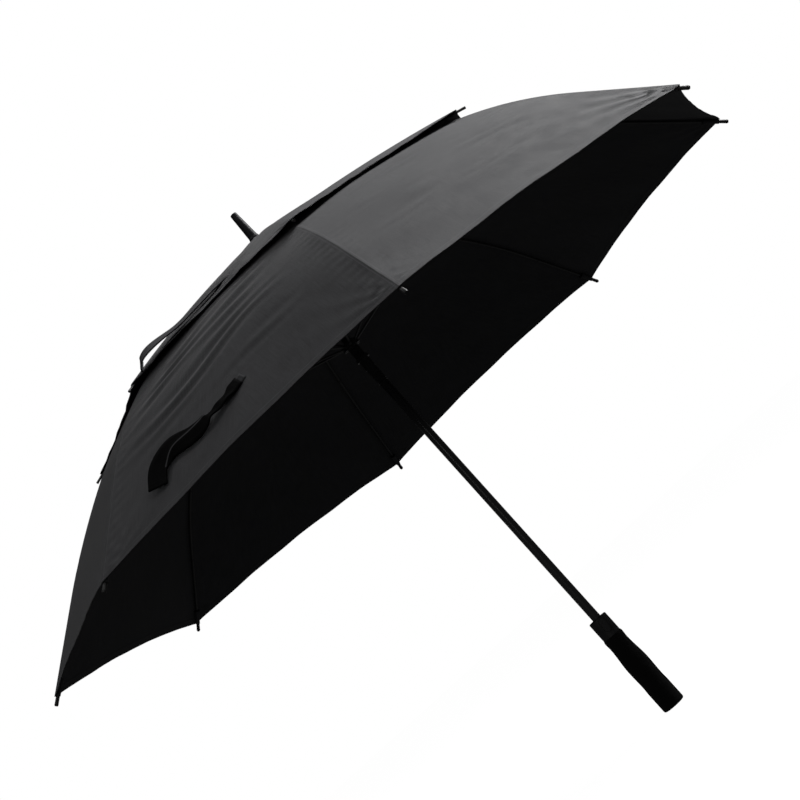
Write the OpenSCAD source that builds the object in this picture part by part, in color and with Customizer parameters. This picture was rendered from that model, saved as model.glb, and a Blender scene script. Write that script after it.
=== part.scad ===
// Golf umbrella with a vented double canopy, shown open.
// +Z runs up the shaft to the ferrule and the origin is the centre of the grip's butt.
// The ribs stand every 45 degrees, and rib 1 points along -Y, where the push button is.

/* [Shaft and handle] */
// Length from the butt of the grip to the tip of the ferrule
total_length = 969; // [940:1:1000]
// Outer radius of the shaft tube
shaft_r = 7; // [6.8:0.05:7.1]
// Wall of the shaft tube
shaft_wall = 1.4; // [1:0.1:1.6]
// Height of the top of the handle collar
collar_top = 163; // [160:1:165]
// Height of the joint between the collar and the foam grip
grip_top = 131; // [128:1:131]
// Outer radius of the handle collar
collar_r = 15; // [14.6:0.1:15.4]
// Radius of the straight end of the grip
butt_r = 18; // [17:0.1:19]
// Height of the straight end of the grip
butt_height = 33; // [28:1:36]

/* [Ribs] */
// Height of the main rib pivots
notch_z = 902; // [898:1:904]
// Radius of the rib pivot ring, in the top notch and in the runner
pivot_r = 11; // [10.8:0.1:11.4]
// Straight distance from the rib pivot to the flexing point over the stretcher
inner_chord = 348.4; // [340:0.1:352]
// Slope of that line below level when the umbrella is open
inner_slope = 16.5; // [15.5:0.1:17.5]
// Bend of the inner rib in degrees
inner_bend = 10; // [6:0.5:11]
// Length of the bent part of the outer rib
outer_arc = 230; // [200:1:250]
// Bend of the outer rib in degrees
outer_bend = 19.3; // [12:0.1:22]
// Length of the straight end of the outer rib
outer_straight = 157.4; // [140:0.1:165]
// Radius of the fibreglass main rib
rib_r = 2; // [1.7:0.1:2.1]
// Radius of a stretcher rod
stretcher_r = 1.6; // [1.3:0.1:1.7]

/* [Vent ribs] */
// Height of the vent rib pivots
vent_z = 909.5; // [909:0.1:910.5]
// Radius of the vent rib pivot ring
vent_pivot_r = 15.2; // [15:0.1:15.6]
// Straight length of a vent rib from its pivot to its end
vent_chord = 415.4; // [395:0.1:420]
// Slope of that line below level when the umbrella is open
vent_slope = 16.8; // [16.6:0.1:16.9]
// Bend of a vent rib in degrees
vent_bend = 7; // [6.5:0.5:8]
// Radius of a vent rib rod
vent_rod_r = 1.3; // [1:0.1:1.4]

/* [Canopy] */
// Thickness of the cloth
cloth = 0.5; // [0.4:0.1:0.8]
// Distance along the rib from its pivot to the lower canopy's central opening
opening_s = 225; // [210:5:260]
// Length of rib end that shows past the corner of the lower canopy
tip_show = 13; // [10:1:16]
// Depth of the curve cut into each hem of the lower canopy
hem_curve = 13; // [10:1:30]
// Length of vent rib that shows past the corner of the upper canopy
vent_show = 14; // [10:1:16]
// Depth of the curve cut into each hem of the upper canopy
vent_hem_curve = 20; // [10:1:26]
// Outward puff of each gore of the lower canopy, halfway down its middle
gore_puff = 7; // [0:0.5:8]

/* [Straps] */
// Width of a closure strap
strap_width = 27; // [20:1:32]
// Thickness of a closure strap
strap_thick = 1.6; // [1.2:0.1:2]

/* [Hidden] */
RIBS = [1:8];
$fn = 48;

rib_step = 45;
first_rib = -90;
function rib_azimuth(i) = first_rib + rib_step * (i - 1);

// Running clearance between pieces that slide or turn on each other
gap = 0.2;
wire_r = 0.8;
eye_hole_r = 1;
eye_width = 3;
slot_width = 4.5;

// Rib line, as [radius, height] at a distance s along the rib from its pivot
function along(slope) = [cos(slope), -sin(slope)];
function above(slope) = [sin(slope), cos(slope)];
function arc_move(rho, from, to) = rho * [sin(to) - sin(from), cos(to) - cos(from)];
function chord_rho(chord, bend) = chord / 2 / sin(bend / 2);
function arc_length(rho, bend) = rho * bend * PI / 180;

rib_pivot = [pivot_r, notch_z];
rib_end_r = rib_r - 0.05;
inner_a0 = inner_slope - inner_bend / 2;
inner_a1 = inner_slope + inner_bend / 2;
inner_rho = chord_rho(inner_chord, inner_bend);
inner_length = arc_length(inner_rho, inner_bend);
flex_point = rib_pivot + inner_chord * along(inner_slope);
outer_rho = outer_arc / (outer_bend * PI / 180);
outer_a1 = inner_a1 + outer_bend;
bend_end = flex_point + arc_move(outer_rho, inner_a1, outer_a1);
rib_length = inner_length + outer_arc + outer_straight;
rib_end = bend_end + outer_straight * along(outer_a1);

function rib_slope(s) =
    s < inner_length ? inner_a0 + inner_bend * s / inner_length
    : s < inner_length + outer_arc ? inner_a1 + outer_bend * (s - inner_length) / outer_arc
    : outer_a1;
function rib_at(s) =
    s < inner_length ? rib_pivot + arc_move(inner_rho, inner_a0, rib_slope(s))
    : s < inner_length + outer_arc ? flex_point + arc_move(outer_rho, inner_a1, rib_slope(s))
    : bend_end + (s - inner_length - outer_arc) * along(outer_a1);

// Stretcher pivot under the rib; the runner pivot is its mirror image of the rib pivot,
// so a stretcher is as long as the rib is from its pivot to the stretcher
bracket_back = 12;
bracket_drop = 6.5;
joint_point = flex_point - bracket_back * along(inner_a1) - bracket_drop * above(inner_a1);
runner_z = 2 * joint_point[1] - notch_z;
stretcher_length = norm(joint_point - rib_pivot);
stretcher_slope = atan2(joint_point[1] - runner_z, joint_point[0] - pivot_r);
closed_runner_z = notch_z - 2 * stretcher_length;

// Vent rib line
vent_pivot = [vent_pivot_r, vent_z];
vent_a0 = vent_slope - vent_bend / 2;
vent_rho = chord_rho(vent_chord, vent_bend);
vent_length = arc_length(vent_rho, vent_bend);
function vent_angle(s) = vent_a0 + vent_bend * s / vent_length;
function vent_at(s) = vent_pivot + arc_move(vent_rho, vent_a0, vent_angle(s));

notch_r = 18.6;
notch_low = notch_z - 6.5;
notch_high = vent_z + 3;
slot_floor_r = 8.2;
collar_washer_z = notch_high + 1.8;
ferrule_z = collar_washer_z + 3.4;

runner_tail_r = 7.9;
tail_low = runner_z - (closed_runner_z - collar_top) - 7;
plunger_pin_z = runner_z - 24;
spring_low = 26;

button_z = 149.5;
button_travel = 2;
plate_low = 156.9;
plate_thick = 2.2;
plate_r = 11.9;
button_face_y = -17.2;
button_back_y = -11.95;

// ---------------------------------------------------------------- shared shapes

module rod_arc(from, rho, a0, a1, r) {
    centre = from - rho * above(a0);
    translate([centre[0], 0, centre[1]]) rotate([90, 0, 0]) rotate([0, 0, 90 - a1])
        rotate_extrude(angle = a1 - a0, $fn = 900) translate([rho, 0]) circle(r, $fn = 24);
}

// A rod of length l from a point, sloping down at the given angle
module rod(from, slope, l, r, r_end = undef) {
    translate([from[0], 0, from[1]]) rotate([0, 90 + slope, 0])
        cylinder(h = l, r1 = r, r2 = is_undef(r_end) ? r : r_end, $fn = 24);
}

// A disc or hole across the rib's plane
module cross_pin(at, r, width) {
    translate([at[0], 0, at[1]]) rotate([90, 0, 0]) cylinder(h = width, r = r, center = true, $fn = 32);
}

module ring(r, wire, z) {
    translate([0, 0, z]) rotate_extrude($fn = 96) translate([r, 0]) circle(wire, $fn = 24);
}

module radial_slots(width, from_r, low, high) {
    for (i = RIBS) rotate([0, 0, rib_azimuth(i)])
        translate([from_r, -width / 2, low]) cube([30, width, high - low]);
}

module tube(r_out, r_in, low, high) {
    difference() {
        translate([0, 0, low]) cylinder(h = high - low, r = r_out);
        translate([0, 0, low - 1]) cylinder(h = high - low + 2, r = r_in);
    }
}

// Closed coil spring along +Z: a polygon section swept along a helix, with flat ends
module coil(coil_r, wire, length, turns, steps, sides) {
    n = turns * steps;
    points = [for (i = [0:n]) let (a = 360 * i / steps, z = wire + (length - 2 * wire) * i / n)
        for (k = [0:sides - 1]) let (b = 360 * k / sides)
            [(coil_r + wire * cos(b)) * cos(a), (coil_r + wire * cos(b)) * sin(a), z + wire * sin(b)]];
    walls = [for (i = [0:n - 1]) for (k = [0:sides - 1])
        let (p = i * sides + k, q = i * sides + (k + 1) % sides)
            each [[p, q, p + sides], [q, q + sides, p + sides]]];
    ends = [for (k = [1:sides - 2])
        each [[0, k + 1, k], [n * sides, n * sides + k, n * sides + k + 1]]];
    polyhedron(points, concat(walls, ends));
}

// ---------------------------------------------------------------- cloth

function spin(p, azimuth) = [p[0] * cos(azimuth), p[0] * sin(azimuth), p[1]];

// A point on a gore, v from 0 at one rib to 1 at the next, puffed up between them
function gore_point(line, puff, i, v) =
    let (a = rib_azimuth(i), b = a + rib_step, p = (1 - v) * spin(line, a) + v * spin(line, b))
        p + [0, 0, puff * 4 * v * (1 - v)];

function lower_line(s, h) = rib_at(s) + (rib_r + 2 + h) * above(rib_slope(s));
// The vent cloth lifts over the notch near the middle
function vent_lift(s) = 2.8 + 2.6 * max(0, 1 - s / 45);
function upper_line(s, h) =
    s < 0 ? [vent_pivot_r + s, notch_high + 0.7 + h]
    : vent_at(s) + (vent_lift(s) + h) * above(vent_angle(s));

function lower_point(i, v, u, h) =
    let (last = rib_length - tip_show - hem_curve * 4 * v * (1 - v), s = opening_s + (last - opening_s) * u)
        gore_point(lower_line(s, h), gore_puff * sin(180 * u), i, v);
function upper_point(i, v, u, h) =
    let (first = 8.6 - vent_pivot_r, last = vent_length - vent_show - vent_hem_curve * 4 * v * (1 - v),
         s = first + (last - first) * u)
        gore_point(upper_line(s, h), 0, i, v);

// A ring of cloth: points run round the ring, then down the rib, then from under side to top
module cloth_ring(points, round, down) {
    layer = round * (down + 1);
    sheet = [for (j = [0:down - 1]) for (k = [0:round - 1])
        let (a = j * round + k, b = j * round + (k + 1) % round, c = a + round, d = b + round)
            each [[a, c, b], [b, c, d], [a + layer, b + layer, c + layer], [b + layer, d + layer, c + layer]]];
    edges = [for (k = [0:round - 1])
        let (a = k, b = (k + 1) % round, c = down * round + k, d = down * round + b)
            each [[a, b, a + layer], [b, b + layer, a + layer], [c, c + layer, d], [d, c + layer, d + layer]]];
    polyhedron(points, concat(sheet, edges));
}

// ---------------------------------------------------------------- middle parts

module shaft() {
    color("#151515") difference() {
        tube(shaft_r, shaft_r - shaft_wall, spring_low, ferrule_z);
        // Slot at the back for the spring plunger's pin
        translate([-1.5, 0, closed_runner_z - 27])
            cube([3, shaft_r + 1, runner_z - closed_runner_z + 6]);
    }
}

module ferrule() {
    length = total_length - ferrule_z;
    color("#101010") {
        translate([0, 0, ferrule_z]) rotate_extrude() polygon(concat(
            [[0, 0], [8.4, 0], [8.4, 2.5], [7.6, 4.5]],
            [for (a = [0:15:90]) [3.7 + 1.7 * cos(a), length - 1.7 + 1.7 * sin(a)]],
            [[0, length]]));
        // Spigot inside the shaft
        translate([0, 0, ferrule_z - 18]) cylinder(h = 18.2, r = shaft_r - shaft_wall - 0.05);
    }
}

module ferrule_collar() {
    color("#101010") difference() {
        translate([0, 0, collar_washer_z]) rotate_extrude()
            polygon([[0, 0], [12.3, 0], [12.3, 1.4], [9.4, 3.4], [0, 3.4]]);
        translate([0, 0, collar_washer_z - 1]) cylinder(h = 6, r = shaft_r + 0.05);
    }
}

module top_notch() {
    color("#1a1a1a") difference() {
        translate([0, 0, notch_low]) cylinder(h = notch_high - notch_low, r = notch_r);
        translate([0, 0, notch_low - 1]) cylinder(h = 30, r = shaft_r + 0.05);
        radial_slots(slot_width, slot_floor_r, notch_low - 1, notch_high + 1);
        ring(pivot_r, wire_r, notch_z);
        ring(vent_pivot_r, wire_r, vent_z);
    }
}

module notch_wires() {
    color("silver") {
        ring(pivot_r, wire_r, notch_z);
        ring(vent_pivot_r, wire_r, vent_z);
    }
}

module runner() {
    pin_hole_y = shaft_r;
    color("#181818") difference() {
        union() {
            // Slotted head that carries the stretchers
            translate([0, 0, runner_z - 5]) cylinder(h = 9, r = 14.6);
            // Body, lower ring and thin tail
            translate([0, 0, runner_z - 46]) cylinder(h = 46, r = 8.6);
            translate([0, 0, runner_z - 30]) cylinder(h = 5, r = 11);
            translate([0, 0, tail_low]) cylinder(h = 40, r = runner_tail_r);
        }
        translate([0, 0, tail_low - 1]) cylinder(h = 120, r = shaft_r + gap);
        radial_slots(slot_width, slot_floor_r + 0.3, runner_z - 6, runner_z + 10);
        ring(pivot_r, wire_r, runner_z);
        // Hole for the spring plunger's pin
        translate([0, pin_hole_y, plunger_pin_z]) rotate([-90, 0, 0]) cylinder(h = 10, r = 1.25);
        // Groove for the catch plate
        translate([0, 0, tail_low + plate_low - 0.3 - (collar_top - 7)])
            tube(runner_tail_r + 1, runner_tail_r - 0.45, 0, plate_thick + 0.6);
    }
}

module runner_wire() {
    color("silver") ring(pivot_r, wire_r, runner_z);
}

module spring_plunger() {
    color("#c0c0c0") {
        translate([0, 0, plunger_pin_z - 12]) cylinder(h = 24, r = shaft_r - shaft_wall - 0.3);
        translate([0, 0, plunger_pin_z]) rotate([-90, 0, 0]) cylinder(h = 8.4, r = 1.2);
    }
}

module opening_spring() {
    color("silver") translate([0, 0, spring_low + 0.1])
        coil(4.3, 0.6, plunger_pin_z - 12 - spring_low - 0.2, 36, 8, 4);
}

// ---------------------------------------------------------------- handle

module stadium(width, height, depth) {
    r = width / 2;
    half = height / 2 - r;
    rotate([90, 0, 0]) {
        for (side = [-1, 1]) translate([0, side * half, 0]) cylinder(h = depth, r = r);
        translate([-r, -half, 0]) cube([width, 2 * half, depth]);
    }
}

module handle_collar() {
    pocket = plate_r + 0.3;
    color("#141414") difference() {
        translate([0, 0, grip_top]) rotate_extrude() polygon([[0, 0], [collar_r, 0],
            [collar_r, collar_top - grip_top - 1], [collar_r - 1, collar_top - grip_top],
            [0, collar_top - grip_top]]);
        translate([0, 0, grip_top - 1]) cylinder(h = 60, r = shaft_r + 0.05);
        // Socket for the runner's tail
        translate([0, 0, collar_top - 10]) cylinder(h = 20, r = runner_tail_r + 0.5);
        // Pocket for the catch plate and its travel
        translate([0, 0, plate_low - 0.4]) {
            cylinder(h = plate_thick + 0.8, r = pocket);
            translate([0, button_travel, 0]) cylinder(h = plate_thick + 0.8, r = pocket);
            translate([-pocket, 0, 0]) cube([2 * pocket, button_travel, plate_thick + 0.8]);
        }
        // Window for the push button
        translate([0, -9.6, button_z]) stadium(10, 22, 10);
    }
}

module push_button() {
    color("#202020") difference() {
        translate([0, button_back_y, button_z]) stadium(9.4, 21.4, button_back_y - button_face_y);
        translate([0, button_back_y + 1, button_z - 4]) rotate([90, 0, 0]) cylinder(h = 4, r = 2.7);
    }
}

module catch_plate() {
    color("#b8b8b8") difference() {
        translate([0, 0, plate_low]) cylinder(h = plate_thick, r = plate_r);
        // Opening round the shaft: close at the back, where its edge is the latch nose
        translate([0, 0, plate_low - 1]) intersection() {
            translate([0, -2.1, 0]) cylinder(h = plate_thick + 2, r = 8.35);
            translate([-20, -20, 0]) cube([40, 27.5, plate_thick + 2]);
        }
        translate([-8.35, -2.1, plate_low - 1]) cube([16.7, 9.6, plate_thick + 2]);
    }
}

module button_spring() {
    color("silver") translate([0, -9.65, button_z - 4]) rotate([90, 0, 0]) coil(1.9, 0.3, 5, 5, 10, 5);
}

module handle_core() {
    color("#222222") tube(10.8, shaft_r + 0.05, 4, grip_top);
}

// Foam grip outline: [height, radius] at its turning points, joined by smooth waves
grip_knots = [[butt_height, butt_r], [46, 17.5], [76, 18.3], [117, 15.6], [grip_top - 3, 16.2]];
grip_steps = 7;
module grip() {
    wave = [for (k = [0:len(grip_knots) - 2]) for (j = [1:grip_steps])
        let (t = j / grip_steps, w = (1 - cos(180 * t)) / 2, p = grip_knots[k], q = grip_knots[k + 1])
            [(1 - w) * p[1] + w * q[1], (1 - t) * p[0] + t * q[0]]];
    rounding = 3;
    color("#121212") difference() {
        rotate_extrude() polygon(concat([[0, 0]],
            [for (a = [-90:15:0]) [butt_r + rounding * (cos(a) - 1), rounding * (1 + sin(a))]],
            [[butt_r, butt_height]], wave, [[15.4, grip_top], [0, grip_top]]));
        translate([0, 0, 4]) cylinder(h = 200, r = 10.85);
        translate([0, 0, -1]) cylinder(h = 6, r = 12.6);
    }
}

module end_cap() {
    color("#1c1c1c") {
        cylinder(h = 3.9, r = 12.5);
        translate([0, 0, 3.8]) cylinder(h = spring_low - 3.8, r = shaft_r);
    }
}

// ---------------------------------------------------------------- canopy

module lower_canopy() {
    across = 6;
    down = 14;
    color("#2b2b2b") cloth_ring([for (h = [0, cloth]) for (j = [0:down]) for (i = RIBS)
        for (k = [0:across - 1]) lower_point(i, k / across, j / down, h)], across * 8, down);
}

module upper_canopy() {
    across = 6;
    // Closer rows at the middle, where the cloth turns down over the edge of the notch
    rows = concat([0, 0.035], [for (j = [1:10]) j / 10]);
    color("#2f2f2f") cloth_ring([for (h = [0, cloth]) for (u = rows) for (i = RIBS)
        for (k = [0:across - 1]) upper_point(i, k / across, u, h)], across * 8, len(rows) - 1);
}

// A flat band swept through points, each [place, cross direction, up direction]
module band(stations, width, thick) {
    n = len(stations) - 1;
    points = [for (f = stations) for (c = [[-1, 0], [1, 0], [1, 1], [-1, 1]])
        f[0] + c[0] * width / 2 * f[1] + c[1] * thick * f[2]];
    walls = [for (i = [0:n - 1]) for (k = [0:3]) let (p = 4 * i + k, q = 4 * i + (k + 1) % 4)
        each [[p, p + 4, q], [q, p + 4, q + 4]]];
    polyhedron(points, concat(walls, [[0, 1, 2], [0, 2, 3], [4 * n, 4 * n + 2, 4 * n + 1],
        [4 * n, 4 * n + 3, 4 * n + 2]]));
}

function unit(v) = v / norm(v);

// The straps lie on the gore between ribs 8 and 1. Each point along them is
// [v across the gore, u down it, height over the cloth]
lower_strap_route = [[0.54, 0.825, 2], [0.465, 0.855, 5], [0.405, 0.865, 8], [0.35, 0.86, 9],
    [0.29, 0.84, 9], [0.25, 0.845, 8], [0.225, 0.865, 7], [0.217, 0.91, 4]];
upper_strap_route = [[0.555, 0.85, 2], [0.50, 0.89, 3.5], [0.42, 0.90, 4], [0.34, 0.92, 5],
    [0.27, 0.95, 5], [0.195, 0.965, 8], [0.12, 0.965, 12], [0.085, 0.965, 8], [0.065, 0.95, 3]];
lower_strap_tilt = outer_a1 + 1.5;
upper_strap_tilt = vent_slope + 3;
strap_steps = 14;

function route_at(route, t) =
    let (n = len(route) - 1, k = min(floor(t * n), n - 1), f = t * n - k)
        (1 - f) * route[k] + f * route[k + 1];

module strap_lower() {
    route = [for (j = [0:strap_steps]) let (t = j / strap_steps, p = route_at(lower_strap_route, t))
        lower_point(8, p[0], p[1], cloth + p[2])];
    color("#1d1d1d") band(strap_stations(route, lower_strap_tilt), strap_width, strap_thick);
}

module strap_upper() {
    route = [for (j = [0:strap_steps]) let (t = j / strap_steps, p = route_at(upper_strap_route, t))
        upper_point(8, p[0], p[1], cloth + p[2])];
    color("#1d1d1d") band(strap_stations(route, upper_strap_tilt), strap_width, strap_thick);
}

function strap_stations(route, tilt) = [for (j = [0:len(route) - 1])
    let (n = len(route) - 1, ahead = unit(route[min(j + 1, n)] - route[max(j - 1, 0)]),
         out = [sin(tilt) * cos(rib_azimuth(8.5)), sin(tilt) * sin(rib_azimuth(8.5)), cos(tilt)],
         side = unit(cross(ahead, out)), up = cross(side, ahead))
        [route[j], side, up]];

// ---------------------------------------------------------------- ribs

module rib_inner() {
    color("#0c0c0c") difference() {
        union() {
            cross_pin(rib_pivot, 2.4, eye_width);
            rod(rib_pivot + 1.2 * along(inner_a0), inner_a0, 14, 1.4);
            rod(rib_at(12), rib_slope(12), 12, rib_r + 0.4);
            rod_arc(rib_at(10), inner_rho, rib_slope(10), inner_a1, rib_r);
            // Round end that the outer rib turns about
            cross_pin(flex_point, rib_r - 0.1, 3);
            // Stretcher bracket: a sleeve on the rib, two ears and their pin
            rod(flex_point - 20 * along(inner_a1), inner_a1, 17, rib_r + 1.2);
            for (side = [-1, 1]) translate([0, side * 2.45, 0]) {
                cross_pin(joint_point, 2.5, 1.1);
                translate([joint_point[0], 0, joint_point[1]]) rotate([0, inner_a1, 0])
                    translate([-2.5, -0.55, 0]) cube([5, 1.1, bracket_drop]);
            }
            cross_pin(joint_point, 0.9, 4.4);
        }
        cross_pin(rib_pivot, eye_hole_r, eye_width + 2);
    }
}

module rib_outer() {
    start = inner_length + rib_r + 0.4;
    overlap = 3;
    color("#0c0c0c") {
        rod_arc(rib_at(start), outer_rho, rib_slope(start), outer_a1, rib_r);
        rod(bend_end - overlap * along(outer_a1), outer_a1, outer_straight - 12 + overlap, rib_end_r);
        rod(rib_at(rib_length - 40), outer_a1, 10, rib_r + 0.3);
    }
}

module rib_tip() {
    color("#1f1f1f") difference() {
        union() {
            rod(rib_at(rib_length - 24), outer_a1, 22, 2.6, 2.9);
            rod(rib_at(rib_length - 2.5), outer_a1, 2.5, 3.2, 2.2);
        }
        rod(rib_at(rib_length - 25), outer_a1, 13.2, rib_end_r + 0.02);
    }
}

module stretcher() {
    runner_point = [pivot_r, runner_z];
    color("#111111") difference() {
        union() {
            cross_pin(joint_point, 2.3, eye_width);
            cross_pin(runner_point, 2.4, eye_width);
            rod(runner_point + 1.2 * along(-stretcher_slope), -stretcher_slope,
                stretcher_length - 2.4, stretcher_r - 0.15);
            rod(runner_point + 8 * along(-stretcher_slope), -stretcher_slope,
                stretcher_length - 16, stretcher_r);
        }
        cross_pin(joint_point, eye_hole_r, eye_width + 2);
        cross_pin(runner_point, eye_hole_r, eye_width + 2);
    }
}

module vent_rib() {
    cap = 20;
    color("#0c0c0c") difference() {
        union() {
            cross_pin(vent_pivot, 2, eye_width);
            rod_arc(vent_at(1.2), vent_rho, vent_angle(1.2), vent_angle(vent_length - 4), vent_rod_r);
            rod(vent_at(vent_length - cap), vent_angle(vent_length - cap), cap, 1.7, 1.9);
        }
        cross_pin(vent_pivot, eye_hole_r, eye_width + 2);
    }
}

shaft();
ferrule();
ferrule_collar();
top_notch();
notch_wires();
runner();
runner_wire();
spring_plunger();
opening_spring();
handle_collar();
push_button();
catch_plate();
button_spring();
handle_core();
grip();
end_cap();
lower_canopy();
upper_canopy();
strap_lower();
strap_upper();
for (i = RIBS) rotate([0, 0, rib_azimuth(i)]) {
    rib_inner();
    rib_outer();
    rib_tip();
    stretcher();
    vent_rib();
}
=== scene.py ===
"""Looks of a vented golf umbrella: cloth, stitching, foam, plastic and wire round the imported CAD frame."""
import math

import bpy
import numpy as np
from mathutils import Matrix, Vector


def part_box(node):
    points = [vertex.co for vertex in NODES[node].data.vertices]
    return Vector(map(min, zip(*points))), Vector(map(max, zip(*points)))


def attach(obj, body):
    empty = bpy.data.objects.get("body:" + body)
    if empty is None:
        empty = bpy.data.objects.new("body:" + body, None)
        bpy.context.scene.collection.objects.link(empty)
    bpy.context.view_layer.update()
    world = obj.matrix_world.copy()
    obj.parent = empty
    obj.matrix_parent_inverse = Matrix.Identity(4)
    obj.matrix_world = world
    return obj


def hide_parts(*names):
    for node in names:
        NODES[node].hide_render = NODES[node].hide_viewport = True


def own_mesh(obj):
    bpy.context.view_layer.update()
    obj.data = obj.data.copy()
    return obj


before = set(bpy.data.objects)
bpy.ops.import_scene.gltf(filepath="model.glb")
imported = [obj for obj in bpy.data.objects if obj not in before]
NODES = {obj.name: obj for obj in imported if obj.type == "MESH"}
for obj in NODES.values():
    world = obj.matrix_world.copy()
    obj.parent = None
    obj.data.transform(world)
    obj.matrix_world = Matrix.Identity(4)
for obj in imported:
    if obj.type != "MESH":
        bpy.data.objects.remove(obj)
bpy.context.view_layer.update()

# ---------------------------------------------------------------- sizes, as in part.scad, in millimetres
MM = 0.001
RIBS = range(1, 9)
RIB_STEP = 45.0
PIVOT = np.array([11.0, 902.0])
INNER_CHORD, INNER_SLOPE, INNER_BEND = 348.4, 16.5, 10.0
OUTER_ARC, OUTER_BEND, OUTER_STRAIGHT = 230.0, 19.3, 157.4
RIB_R, VENT_ROD_R = 2.0, 1.3
VENT_PIVOT = np.array([15.2, 909.5])
VENT_CHORD, VENT_SLOPE, VENT_BEND = 415.4, 16.8, 7.0
CLOTH = 0.5
OPENING_S, TIP_SHOW, HEM_CURVE = 225.0, 13.0, 13.0
VENT_SHOW, VENT_HEM_CURVE, GORE_PUFF = 14.0, 20.0, 7.0
NOTCH_HIGH = VENT_PIVOT[1] + 3
NOTCH_EDGE_R = 8.6
CLOTH_HALF = 0.22
# The gore that carries both closure straps
GORE_8 = 8


def sind(a):
    return np.sin(np.radians(a))


def cosd(a):
    return np.cos(np.radians(a))


def rib_azimuth(i):
    return -90 + RIB_STEP * (i - 1)


def along(a):
    return np.stack([cosd(a), -sind(a)], -1)


def above(a):
    return np.stack([sind(a), cosd(a)], -1)


def arc_move(rho, a, b):
    return rho * np.stack([sind(b) - sind(a), cosd(b) - cosd(a)], -1)


INNER_A0, INNER_A1 = INNER_SLOPE - INNER_BEND / 2, INNER_SLOPE + INNER_BEND / 2
INNER_RHO = INNER_CHORD / 2 / sind(INNER_BEND / 2)
INNER_LENGTH = INNER_RHO * math.radians(INNER_BEND)
FLEX = PIVOT + INNER_CHORD * along(INNER_SLOPE)
OUTER_RHO = OUTER_ARC / math.radians(OUTER_BEND)
OUTER_A1 = INNER_A1 + OUTER_BEND
BEND_END = FLEX + arc_move(OUTER_RHO, INNER_A1, OUTER_A1)
RIB_LENGTH = INNER_LENGTH + OUTER_ARC + OUTER_STRAIGHT
VENT_A0 = VENT_SLOPE - VENT_BEND / 2
VENT_RHO = VENT_CHORD / 2 / sind(VENT_BEND / 2)
VENT_LENGTH = VENT_RHO * math.radians(VENT_BEND)


def rib_slope(s):
    s = np.asarray(s, float)
    inner = INNER_A0 + INNER_BEND * s / INNER_LENGTH
    outer = INNER_A1 + OUTER_BEND * (s - INNER_LENGTH) / OUTER_ARC
    return np.where(s < INNER_LENGTH, inner, np.minimum(outer, OUTER_A1))


def rib_at(s):
    s = np.asarray(s, float)
    a = rib_slope(s)
    inner = PIVOT + arc_move(INNER_RHO, INNER_A0, a)
    bent = FLEX + arc_move(OUTER_RHO, INNER_A1, a)
    straight = BEND_END + (s - INNER_LENGTH - OUTER_ARC)[..., None] * along(OUTER_A1)
    near, mid = (s < INNER_LENGTH)[..., None], (s < INNER_LENGTH + OUTER_ARC)[..., None]
    return np.where(near, inner, np.where(mid, bent, straight))


def vent_slope(s):
    return VENT_A0 + VENT_BEND * np.asarray(s, float) / VENT_LENGTH


def vent_at(s):
    return VENT_PIVOT + arc_move(VENT_RHO, VENT_A0, vent_slope(s))


def spin(rz, azimuth):
    return np.stack([rz[..., 0] * cosd(azimuth), rz[..., 0] * sind(azimuth), rz[..., 1]], -1)


# ---------------------------------------------------------------- cloth surfaces
# Each takes a gore number, v from 0 at its rib to 1 at the next, and s along the rib, and gives millimetres.


def lower_last(v):
    return RIB_LENGTH - TIP_SHOW - HEM_CURVE * 4 * v * (1 - v)


def upper_last(v):
    return VENT_LENGTH - VENT_SHOW - VENT_HEM_CURVE * 4 * v * (1 - v)


def gore(line, puff, i, v):
    a, v = rib_azimuth(i), v[..., None]
    p = (1 - v) * spin(line, a) + v * spin(line, a + RIB_STEP)
    p[..., 2] += puff * 4 * v[..., 0] * (1 - v[..., 0])
    return p


def window(x, lo, hi, soft):
    """1 between lo and hi, easing to 0 over soft outside them."""
    t = np.clip(np.minimum(x - lo, hi - x) / soft + 1, 0, 1)
    return t * t * (3 - 2 * t)


def ripple(x, y, seed):
    """A smooth irregular wave field of about unit size, repeatable from its seed."""
    rng = np.random.default_rng(seed)
    total, waves = 0, 5
    for _ in range(waves):
        f, a, p = rng.uniform(0.6, 1.7), rng.uniform(0, 2 * math.pi), rng.uniform(0, 2 * math.pi)
        total = total + np.sin(2 * math.pi * f * (x * math.cos(a) + y * math.sin(a)) + p)
    return total / math.sqrt(waves)


def side_of_tip(i, v):
    """The rib whose tip is nearer to a grid of points, taking the whole grid by its middle."""
    return i if float(np.mean(v)) < 0.5 else i % 8 + 1


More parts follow.
